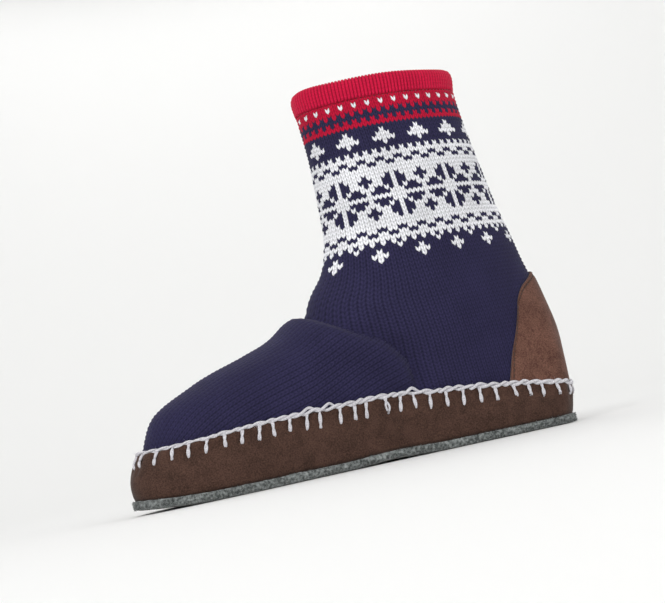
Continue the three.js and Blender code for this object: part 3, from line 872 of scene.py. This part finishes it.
hem_points = np.zeros((2 * hem_rows, hem_columns, 3))
hem_stand = np.zeros((2 * hem_rows, hem_columns))
for i in range(2 * hem_rows):
    corner = i / 2
    leaning, ribbed = corner < hem_rows - 3, corner < hem_rows - 2
    at = corner + HEM_LEAN * leg_climb(hem_columns) * leaning
    out, up = hem_place(at)
    (out_ahead, up_ahead), (out_behind, up_behind) = hem_place(at + 0.5), hem_place(at - 0.5)
    slope_out, slope_up = out_ahead - out_behind, up_ahead - up_behind
    slope = np.maximum(np.hypot(slope_out, slope_up), TINY)
    swell = (hem_stitch + HEM_NOTCH[i % 2]) * ribbed
    hem_points[i] = hem_base + hem_out * (out + swell * slope_up / slope)[:, None]
    hem_points[i, :, 2] += GAP + up - swell * slope_out / slope + hem_wave * up / HEM_HEIGHT
    # From 0 in the grooves between the ribs to 1 on their tops: this sets the hem's painted shade.
    hem_stand[i] = np.clip((swell - lowest_stand) / (highest_stand - lowest_stand), 0, 1)
hem_faces = ring_faces(2 * hem_rows, hem_columns, closed=True)
hem_colours = [linear(HEM_RED)] * len(hem_faces)
red_ribs = wool_material("worsted_wool_red_rib")
turned_hem = make_piece("turned_hem", hem_points.reshape(-1, 3), hem_faces, [red_ribs],
                        yarn=(hem_colours, hem_stand.ravel()))
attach(turned_hem, "root")
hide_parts("collar_hem")

# Suede rand
# A band of dark brown split suede round the foot, lapped over the lower edge of the knitting and sewn to
# the felt. The blanket stitch along its top edge pulls it in at every bar, and the edge swells in between.
RAND_SUEDE = 1.8
SUNK_IN_FELT = 0.3
STITCH_BARS, BAR_LENGTH, BAR_UNEVEN = 62, 8.8, 0.16
BAR_PULL_WIDTH, BAR_DENT, BAR_PULLS_DOWN = 1.5, 0.55, 0.45
EDGE_SWELL = {"rise": 0.45, "width": 5}
RAND_WAVES, RAND_WAVES_OVER = (0.35, 9, 41), 0.25
BOTTOM_TUCK = {"depth": 0.7, "share": 0.05}
COLUMNS_A_BAR, RAND_ROWS, EDGE_STEPS = 9, 18, 4000
PULLED_FROM = 0.95
# Top edge and inside of the band: share of its height, millimetres above that, and share of its thickness.
RAND_ROUND_EDGE = [(1, 0.72, 0.8), (1, 0.96, 0.5), (1, 0.72, 0.2), (0.98, 0, 0), (0.6, 0, 0), (0.02, 0, 0)]
SUEDE_DARK, SUEDE_LIGHT = "34251f", "543d34"
NAP, NAP_STROKE = 0.7, 11

edge_turns = np.linspace(0, 2 * np.pi, EDGE_STEPS)
edge_run = run_along(upper_point(edge_turns, RAND_TOP))
edge_length = edge_run[-1]
bar_step = edge_length / STITCH_BARS
bar_shifts = np.random.default_rng(17).uniform(-BAR_UNEVEN, BAR_UNEVEN, STITCH_BARS)
bar_places = (np.arange(STITCH_BARS) + bar_shifts) * bar_step


def turn_at(run):
    """Turn of a place along the rand's top edge, given in millimetres from the toe by the outer side."""
    return np.interp(np.mod(run, edge_length), edge_run, edge_turns)


def nearest_bar(run):
    """Distance along the edge to the nearest bar of the blanket stitch."""
    gap = np.mod(run[..., None] - bar_places + edge_length / 2, edge_length) - edge_length / 2
    return np.abs(gap).min(axis=-1)


rand_columns = STITCH_BARS * COLUMNS_A_BAR
rand_run = np.arange(rand_columns) * edge_length / rand_columns
rand_turns = turn_at(rand_run)
pull = bell(nearest_bar(rand_run), BAR_PULL_WIDTH)
rand_rows = []
for share, above, thickness in [(share, 0, 1) for share in np.linspace(0, 1, RAND_ROWS)] + RAND_ROUND_EDGE:
    base = upper_point(rand_turns, share * RAND_TOP)
    out, rise = upper_directions(rand_turns, share * RAND_TOP)
    below_edge = (1 - share) * RAND_TOP * np.linalg.norm(rise, axis=1)
    dent = -BAR_DENT * pull * np.exp(-((below_edge - BAR_LENGTH / 2) / (BAR_LENGTH / 2)) ** 4)
    swell = EDGE_SWELL["rise"] * (1 - pull) * bell(below_edge, EDGE_SWELL["width"])
    waves = soft_noise(base, *RAND_WAVES) * min(1.0, share / RAND_WAVES_OVER)
    tuck = BOTTOM_TUCK["depth"] * bell(share, BOTTOM_TUCK["share"])
    relief = (dent + swell + waves - tuck) * (thickness > 0)
    row = base + out * (GAP + RAND_SUEDE * thickness + relief)[:, None]
    row += unit(rise) * (above - BAR_PULLS_DOWN * pull * (share > PULLED_FROM))[:, None]
    if share == 0:
        row[:, 2] = FELT - SUNK_IN_FELT + sole_lift(row[:, 0])
    rand_rows.append(row)
rand_faces = ring_faces(len(rand_rows), rand_columns, closed=True)


def suede_material(name, dark, light):
    """Split suede, brushed: a short nap that lies in lighter and darker strokes, with no gloss. The nap is
    drawn coarser than real suede's, which would be too fine to show."""
    suede, shader = new_material(name, {"Roughness": 0.92, "Specular IOR Level": 0.14, "Sheen Weight": 0.1,
                                        "Sheen Roughness": 0.4})
    place = add_node(suede, "ShaderNodeTexCoord").outputs["Object"]
    nap = add_node(suede, "ShaderNodeTexNoise", grain(place, NAP, 5.0)).outputs["Fac"]
    brushed = {**grain(place, NAP_STROKE, 4.0), "Roughness": 0.62, "Distortion": 0.8}
    strokes = add_node(suede, "ShaderNodeTexNoise", brushed).outputs["Fac"]
    faint = add_node(suede, "ShaderNodeMath", {0: strokes, 1: 0.6}, operation="MULTIPLY").outputs[0]
    both = add_node(suede, "ShaderNodeMath", {0: faint, 1: nap}, operation="ADD").outputs[0]
    fibre_surface(suede, shader, both, (0.6, 1.0), dark, light, nap, strength=0.55, depth=0.3)
    return suede


rand_suede = suede_material("brushed_split_suede_dark_brown", SUEDE_DARK, SUEDE_LIGHT)
suede_rand = make_piece("suede_rand", np.concatenate(rand_rows), rand_faces, [rand_suede])
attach(suede_rand, "root")
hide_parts("rand")

# Heel patch
# A counter of lighter brown split suede over the back of the heel, with round upper corners. It is sewn to
# the knitting just inside its edge, in a shallow groove, and its lower edge is held by the blanket stitch.
PATCH_SUEDE, PATCH_GAP, PATCH_PRESSED = 1.5, 0.65, 0.5
PATCH_FACE = PATCH_GAP + PATCH_SUEDE - PATCH_PRESSED
PATCH_HALF_TURN, PATCH_SLANT = 0.8, 0.055
PATCH_TOP_AT_BACK, PATCH_TOP_DROP = 6.15, 0.75
PATCH_CORNER = {"start": 0.8, "drop": 0.6}
PATCH_EDGE_ROUND = 1.3
PATCH_WAVES, PATCH_WAVES_FROM_EDGE = (0.35, 11, 51), 5
PATCH_COLUMNS, PATCH_ROWS = 120, 100
PATCH_DARK, PATCH_LIGHT = "4a3129", "745246"
CORD_RADIUS = 1.2
PATCH_UNDER_CORD = 1.2
SEAM_IN, SEAM_GROOVE, SEAM_WIDTH = 2.0, 0.85, 0.7
EVEN_SHARE = 0.45


def edge_level(turn, climb):
    """Level of a place that lies so many millimetres above the rand's top edge."""
    _, rise = upper_directions(turn, RAND_TOP)
    return RAND_TOP + climb / np.linalg.norm(rise, axis=-1)


def patch_top(turn):
    """Level of the patch's upper edge, which drops to both sides and rounds its corners."""
    side = np.minimum(1, np.abs(turn - math.pi) / PATCH_HALF_TURN)
    corner = np.maximum(0, (side - PATCH_CORNER["start"]) / (1 - PATCH_CORNER["start"]))
    drop = PATCH_CORNER["drop"] * (1 - np.sqrt(np.maximum(0, 1 - corner ** 2)))
    return PATCH_TOP_AT_BACK - PATCH_TOP_DROP * side ** 2 - drop


def patch_place(across, climb):
    """Turn and level of a place on the patch: across from -1 to 1, climb from 0 at the rand to 1 on top."""
    turn = math.pi + PATCH_HALF_TURN * across * (1 + PATCH_SLANT * (1 - 2 * climb))
    low = edge_level(turn, 2 * CORD_RADIUS + 2 * GAP - PATCH_UNDER_CORD)
    return turn, low + (patch_top(math.pi + PATCH_HALF_TURN * across) - low) * climb


def eased(count):
    """Steps from 0 to 1 that are finer near both ends."""
    step = np.linspace(0, 1, count)
    return EVEN_SHARE * step + (1 - EVEN_SHARE) * (1 - np.cos(np.pi * step)) / 2


across_grid, climb_grid = np.meshgrid(2 * eased(PATCH_COLUMNS) - 1, eased(PATCH_ROWS))
patch_turn, patch_level = patch_place(across_grid, climb_grid)
patch_base = upper_point(patch_turn, patch_level)
sewn_edges = patch_base[:, :1], patch_base[:, -1:], patch_base[-1:]
edge_gap = np.min([np.linalg.norm(patch_base - edge, axis=2) for edge in sewn_edges], axis=0)
edge_round = 1 - np.sqrt(np.maximum(0, 1 - np.clip(1 - edge_gap / PATCH_EDGE_ROUND, 0, 1) ** 2))
seam_dip = -SEAM_GROOVE * bell(edge_gap - SEAM_IN, SEAM_WIDTH)
patch_waves = soft_noise(patch_base, *PATCH_WAVES) * np.clip(edge_gap / PATCH_WAVES_FROM_EDGE, 0, 1)
patch_out = PATCH_FACE - PATCH_SUEDE * edge_round + seam_dip + patch_waves
patch_outside = upper_offset(patch_turn, patch_level, patch_out)
patch_inside = upper_offset(patch_turn, patch_level, PATCH_GAP - PATCH_PRESSED)
patch_rings = np.concatenate((patch_outside, patch_inside[:, ::-1]), axis=1)
ring_size = 2 * PATCH_COLUMNS
patch_faces = ring_faces(PATCH_ROWS, ring_size)
top = (PATCH_ROWS - 1) * ring_size
for c in range(PATCH_COLUMNS - 1):
    inside = ring_size - 1 - c
    patch_faces.append([c + 1, c, inside, inside - 1])
    patch_faces.append([top + c, top + c + 1, top + inside - 1, top + inside])
patch_suede = suede_material("brushed_split_suede_brown", PATCH_DARK, PATCH_LIGHT)
heel_counter = make_piece("heel_counter", patch_rings.reshape(-1, 3), patch_faces, [patch_suede])
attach(heel_counter, "root")
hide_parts("heel_patch")

# Patch seam
# The line of small stitches in brown thread that sews the patch to the knitting, up one side, along the top
# and down the other. Each stitch lies in the groove and bows a little out of it.
SEAM_STARTS_AT, SEAM_SIDE_POINTS, SEAM_TOP_POINTS = 0.04, 160, 240
NEAR_EDGE = 0.98
FIRST_STITCH_AT, PATCH_STITCH, PATCH_STITCH_GAP, PATCH_STITCH_POINTS = 0.5, 2.4, 0.5, 7
STITCH_BOW, STITCH_SUNK = 0.32, 0.2
THREAD, THREAD_ENDS, THREAD_SIDES, THREAD_COLOUR = 0.6, 0.6, 6, "3b261c"
STEEP = 0.8


def tube(path, radius, sides, closed=False):
    """Tube of points and faces along a path, with capped ends, or with its ends joined if it is closed."""
    count = len(path)
    around = np.roll(path, -1, axis=0) - np.roll(path, 1, axis=0)
    along = unit(around if closed else np.gradient(path, axis=0))
    guide = np.where(np.abs(along[:, 2:3]) < STEEP, [[0.0, 0.0, 1.0]], [[0.0, 1.0, 0.0]])
    side = unit(np.cross(along, guide))
    other = np.cross(along, side)
    turn = np.arange(sides) * 2 * np.pi / sides
    ring = side[:, None] * np.cos(turn)[:, None] + other[:, None] * np.sin(turn)[:, None]
    points = (path[:, None] + ring * np.broadcast_to(radius, count)[:, None, None]).reshape(-1, 3)
    faces = ring_faces(count, sides, closed=closed)
    if not closed:
        faces.append(list(range(sides))[::-1])
        faces.append([(count - 1) * sides + s for s in range(sides)])
    return points, faces


side_climb = np.linspace(SEAM_STARTS_AT, 1, SEAM_SIDE_POINTS)
edge_strip = upper_point(*patch_place(1.0, side_climb)) - upper_point(*patch_place(NEAR_EDGE, side_climb))
seam_side = 1 - SEAM_IN * (1 - NEAR_EDGE) / np.linalg.norm(edge_strip, axis=1)
top_across = np.linspace(-seam_side[-1], seam_side[-1], SEAM_TOP_POINTS)
seam_across = np.concatenate((-seam_side, top_across, seam_side[::-1]))
seam_climb = np.concatenate((side_climb, np.ones(SEAM_TOP_POINTS), side_climb[::-1]))
seam_turn, seam_level = patch_place(seam_across, seam_climb)
_, seam_rise = upper_directions(seam_turn, seam_level)
top_level = patch_top(math.pi + PATCH_HALF_TURN * seam_across)
seam_level = np.minimum(seam_level, top_level - SEAM_IN / np.linalg.norm(seam_rise, axis=1))
seam_line = upper_offset(seam_turn, seam_level, PATCH_FACE - SEAM_GROOVE + THREAD / 2)
seam_run = run_along(seam_line)
seam_stitches = []
bow = np.sin(np.linspace(0, np.pi, PATCH_STITCH_POINTS))
for start in np.arange(FIRST_STITCH_AT, seam_run[-1] - PATCH_STITCH, PATCH_STITCH + PATCH_STITCH_GAP):
    at = np.linspace(start, start + PATCH_STITCH, PATCH_STITCH_POINTS)
    path = np.stack([np.interp(at, seam_run, seam_line[:, i]) for i in range(3)], axis=-1)
    out, _ = upper_directions(np.interp(at, seam_run, seam_turn), np.interp(at, seam_run, seam_level))
    path += out * (STITCH_BOW * bow - STITCH_SUNK)[:, None]
    seam_stitches.append(tube(path, THREAD / 2 * (THREAD_ENDS + (1 - THREAD_ENDS) * bow), THREAD_SIDES))
# Polyester thread, twisted and waxed: smooth, with a faint gloss on each stitch.
brown_thread, _ = new_material("waxed_brown_sewing_thread", {"Base Color": linear(THREAD_COLOUR),
                                                             "Roughness": 0.6, "Sheen Weight": 0.1})
patch_seam = make_piece("patch_seam", *joined(seam_stitches), [brown_thread])
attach(patch_seam, "root")
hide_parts("heel_patch")

# Blanket stitch
# Thick pale grey wool yarn, sewn by hand round the top edge of the rand. It runs along the edge as a loose
# two-strand twist, and at every stitch a bar is caught down through the suede. Some strands stand slack.
PLIES = 2
YARN_PLY, PLY_APART, TWIST = 0.82, 0.8, 12.5
PLY_SIDES, BAR_PLY_SIDES = 8, 7
CORD_SUNK = 0.1
CORD_STEPS_A_BAR, BAR_STEPS = 12, 11
CORD_WANDER, CORD_WANDERS_UP, CORD_WANDERS_ROUND = (1, 6, 61), 0.25, 0.5
PLY_SPREADS = [(0.25, 10, 62), (0.25, 10, 63)]
PLY_SWELLS = [(0.1, 4, 66), (0.1, 4, 67)]
THINNER_TO_TOE = {"from": 150, "over": 60, "share": 0.28}
LOOSE_LOOPS = [{"along": 152, "rise": 2.2}, {"along": 141, "rise": 1.8}, {"along": 96, "rise": 1.5}]
LOOSE_LOOP_WIDTH = 3.2
BAR_PLY, BAR_PLY_APART, BAR_PLY_DEEP, BAR_TWIST = 0.58, 0.45, 0.2, 1.6
BAR_SHAPE = {"ends": 0.78, "swell": 0.28, "lower": 1.15}
BAR_SLANT, BAR_SLANT_SPREAD = 1.5, 0.5
BAR_LENGTH_SHARE = (0.86, 1.08)
BAR_HEAD = 1.0
BAR_ARCH = {"sunk": 0.15, "rise": 0.75, "shorter": 1.12, "foot": 0.9}
SLACK_BAR = {"along": 112, "rise": 1.6, "apart": 0.5}
YARN_HAIRS, YARN_HAIR_WIDTH = 3600, 0.07
YARN_HAIR_ROOT = {"spread": 0.35, "out": 0.5}
YARN_HAIR_TIP = {"spread": 0.75, "out": 0.35}
YARN_PALE, YARN_SHADE = "e1dfe4", "aeacb3"
YARN_STRAND = 0.6


def cord_seat(run):
    """Middle of the yarn along the rand's edge, and directions out of the wall and up it."""
    turn = turn_at(run)
    level = edge_level(turn, GAP + CORD_RADIUS - CORD_SUNK)
    out, rise = upper_directions(turn, level)
    return upper_point(turn, level) + out * (GAP + RAND_SUEDE), out, unit(rise)


def on_outer_side(points):
    """Whether points lie on the outer side of the foot."""
    return points[..., 1] > sole_middle(points[..., 0])


cord_count = STITCH_BARS * CORD_STEPS_A_BAR
cord_run = np.arange(cord_count) * edge_length / cord_count
cord_middle, cord_out, cord_up = cord_seat(cord_run)
cord_along = cord_middle[:, 0]
twists = round(edge_length / TWIST)
slack = np.zeros(cord_count)
for loop in LOOSE_LOOPS:
    slack += loop["rise"] * bell(cord_along - loop["along"], LOOSE_LOOP_WIDTH) * on_outer_side(cord_middle)
wander = soft_noise(cord_middle, *CORD_WANDER)
to_toe = np.clip((cord_along - THINNER_TO_TOE["from"]) / THINNER_TO_TOE["over"], 0, 1)
thinner = 1 - THINNER_TO_TOE["share"] * to_toe
yarn_parts = []
for ply in range(PLIES):
    phase = 2 * np.pi * twists * cord_run / edge_length + np.pi * ply + CORD_WANDERS_ROUND * wander
    apart = PLY_APART * thinner * (1 + soft_noise(cord_middle, *PLY_SPREADS[ply]))
    path = cord_middle + cord_out * (apart * np.cos(phase))[:, None]
    path += cord_up * (apart * np.sin(phase) + CORD_WANDERS_UP * wander + slack * ply)[:, None]
    ply_radius = YARN_PLY * thinner * (1 + soft_noise(path, *PLY_SWELLS[ply]))
    yarn_parts.append(tube(path, ply_radius, PLY_SIDES, closed=True))

draw = np.random.default_rng(23)
steps = np.linspace(0, 1, BAR_STEPS)
bar_swell = BAR_SHAPE["swell"] * np.sin(np.pi * steps ** BAR_SHAPE["lower"])
bar_radius = BAR_PLY * (BAR_SHAPE["ends"] + bar_swell)
arch_steps = np.clip(steps * BAR_ARCH["shorter"], 0, 1)
bar_arch = BAR_ARCH["rise"] * np.sin(np.pi * arch_steps) ** 0.5 - BAR_ARCH["sunk"]
bar_arch[-1] -= BAR_ARCH["foot"]
for place_at in bar_places:
    head = cord_seat(np.array([place_at]))[0][0]
    length = BAR_LENGTH * draw.uniform(*BAR_LENGTH_SHARE)
    slant = draw.normal(BAR_SLANT, BAR_SLANT_SPREAD)
    on_outer = on_outer_side(head)
    is_slack = on_outer and abs(head[0] - SLACK_BAR["along"]) < bar_step / 2
    turn = turn_at(place_at + slant * steps * (1 if on_outer else -1))
    level = edge_level(turn, BAR_HEAD - (length + BAR_HEAD) * steps)
    height = GAP + RAND_SUEDE + bar_arch + SLACK_BAR["rise"] * np.sin(np.pi * steps) * is_slack
    bar_line = upper_offset(turn, level, height)
    out, rise = upper_directions(turn, level)
    sideways = np.cross(unit(rise), out)
    for ply in range(PLIES):
        phase = BAR_TWIST * np.pi * steps + np.pi * ply + place_at
        apart = (BAR_PLY_APART + SLACK_BAR["apart"] * is_slack) * np.cos(phase)
        path = bar_line + sideways * apart[:, None] + out * (BAR_PLY_DEEP * np.sin(phase))[:, None]
        yarn_parts.append(tube(path, bar_radius, BAR_PLY_SIDES))
pick = draw.integers(0, cord_count, YARN_HAIRS)
hair_ends = [cord_middle[pick]]
for end in (YARN_HAIR_ROOT, YARN_HAIR_TIP):
    strayed = hair_ends[-1] + draw.normal(0, end["spread"], (YARN_HAIRS, 3))
    hair_ends.append(strayed + cord_out[pick] * end["out"])
yarn_parts.append(slivers(hair_ends[1], hair_ends[2], YARN_HAIR_WIDTH))


def yarn_material(name):
    """Wool yarn, carded and loosely plied: matt and soft, with pale strands and greyer hollows. Its
    strands are drawn coarser than real ones, which would be too fine to show."""
    yarn, shader = new_material(name, {"Roughness": 0.9, "Specular IOR Level": 0.2, "Sheen Weight": 0.3})
    place = add_node(yarn, "ShaderNodeTexCoord").outputs["Object"]
    strands = add_node(yarn, "ShaderNodeTexNoise", grain(place, YARN_STRAND, 4.0)).outputs["Fac"]
    fibre_surface(yarn, shader, strands, (0.3, 0.65), YARN_SHADE, YARN_PALE, strands,
                  strength=0.7, depth=0.3)
    return yarn


edge_yarn = make_piece("edge_yarn", *joined(yarn_parts), [yarn_material("two_ply_wool_yarn_pale_grey")])
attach(edge_yarn, "root")
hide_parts("blanket_stitch")

# Studio
# A pale paper floor that curves up all round into a backdrop, with soft light from above and from the
# camera's side. Sizes and places are in metres from here on.
FLOOR_FLAT, FLOOR_RISE, FLOOR_REACH = 1.0, 0.34, 3.2
FLOOR_SIDES, FLOOR_RINGS = 96, 33
LAMP_SIZE = 1.6
LAMP_AIM = Vector((0, 0, 0.08))
LAMPS = [
    {"name": "key", "place": (-1.2, -1.9, 2.0), "power": 34},
    {"name": "fill", "place": (2.0, -1.6, 1.3), "power": 9},
    {"name": "back", "place": (0.5, 2.2, 2.0), "power": 11},
]
SKY_STRENGTH = 0.6
PAPER_WHITE, SKY_WHITE = "f4f4f3", "ffffff"

floor_rings = [(FLOOR_FLAT / 2, 0.0)]
for beyond in np.linspace(0, FLOOR_REACH, FLOOR_RINGS):
    floor_rings.append((FLOOR_FLAT + beyond, FLOOR_RISE * beyond ** 2))
floor_points = [(0.0, 0.0, 0.0)]
for radius, up in floor_rings:
    for s in range(FLOOR_SIDES):
        angle = 2 * math.pi * s / FLOOR_SIDES
        floor_points.append((radius * math.cos(angle), radius * math.sin(angle), up))
floor_faces = [[0, 1 + s, 1 + (s + 1) % FLOOR_SIDES] for s in range(FLOOR_SIDES)]
floor_faces += [face[::-1] for face in ring_faces(len(floor_rings), FLOOR_SIDES, 1)]
floor_mesh = bpy.data.meshes.new("studio_floor")
floor_mesh.from_pydata(floor_points, [], floor_faces)
floor_mesh.polygons.foreach_set("use_smooth", np.ones(len(floor_mesh.polygons), bool))
# Background paper, uncoated: white and matt, so that it only shows the soft shadow.
paper, _ = new_material("matt_white_paper", {"Base Color": linear(PAPER_WHITE), "Roughness": 0.9})
floor_mesh.materials.append(paper)
floor = bpy.data.objects.new("studio_floor", floor_mesh)
bpy.context.collection.objects.link(floor)

world = bpy.data.worlds.new("studio")
world.use_nodes = True
sky = world.node_tree.nodes["Background"]
sky.inputs["Color"].default_value = linear(SKY_WHITE)
sky.inputs["Strength"].default_value = SKY_STRENGTH
bpy.context.scene.world = world
bpy.context.scene.view_settings.view_transform = "Standard"
for lamp in LAMPS:
    light = bpy.data.lights.new(lamp["name"], "AREA")
    light.size = LAMP_SIZE
    light.energy = lamp["power"]
    holder = bpy.data.objects.new(lamp["name"], light)
    holder.location = lamp["place"]
    holder.rotation_euler = (LAMP_AIM - holder.location).to_track_quat("-Z", "Y").to_euler()
    bpy.context.collection.objects.link(holder)

# Camera
# At the photograph's angle to the slipper, a little towards the toe from its outer side. The photograph
# looks from below the sole, so the camera stops just above the floor, and is rolled so that the sole rises
# to the heel.
CAMERA_TURN = math.radians(-15)
CAMERA_ROLL = math.radians(-12)
CAMERA_AWAY, CAMERA_UP = 0.85, 0.02
CAMERA_AIM = Vector((0.004, 0.0, 0.092))
CAMERA_LENS, CAMERA_SENSOR = 84, 36

camera_data = bpy.data.cameras.new("camera")
camera_data.sensor_width = CAMERA_SENSOR
camera_data.lens = CAMERA_LENS
camera = bpy.data.objects.new("camera", camera_data)
camera.location = (CAMERA_AWAY * math.sin(CAMERA_TURN), -CAMERA_AWAY * math.cos(CAMERA_TURN), CAMERA_UP)
facing = (CAMERA_AIM - camera.location).to_track_quat("-Z", "Y")
camera.rotation_mode = "QUATERNION"
camera.rotation_quaternion = facing @ Quaternion((0, 0, 1), CAMERA_ROLL)
bpy.context.collection.objects.link(camera)
bpy.context.scene.camera = camera
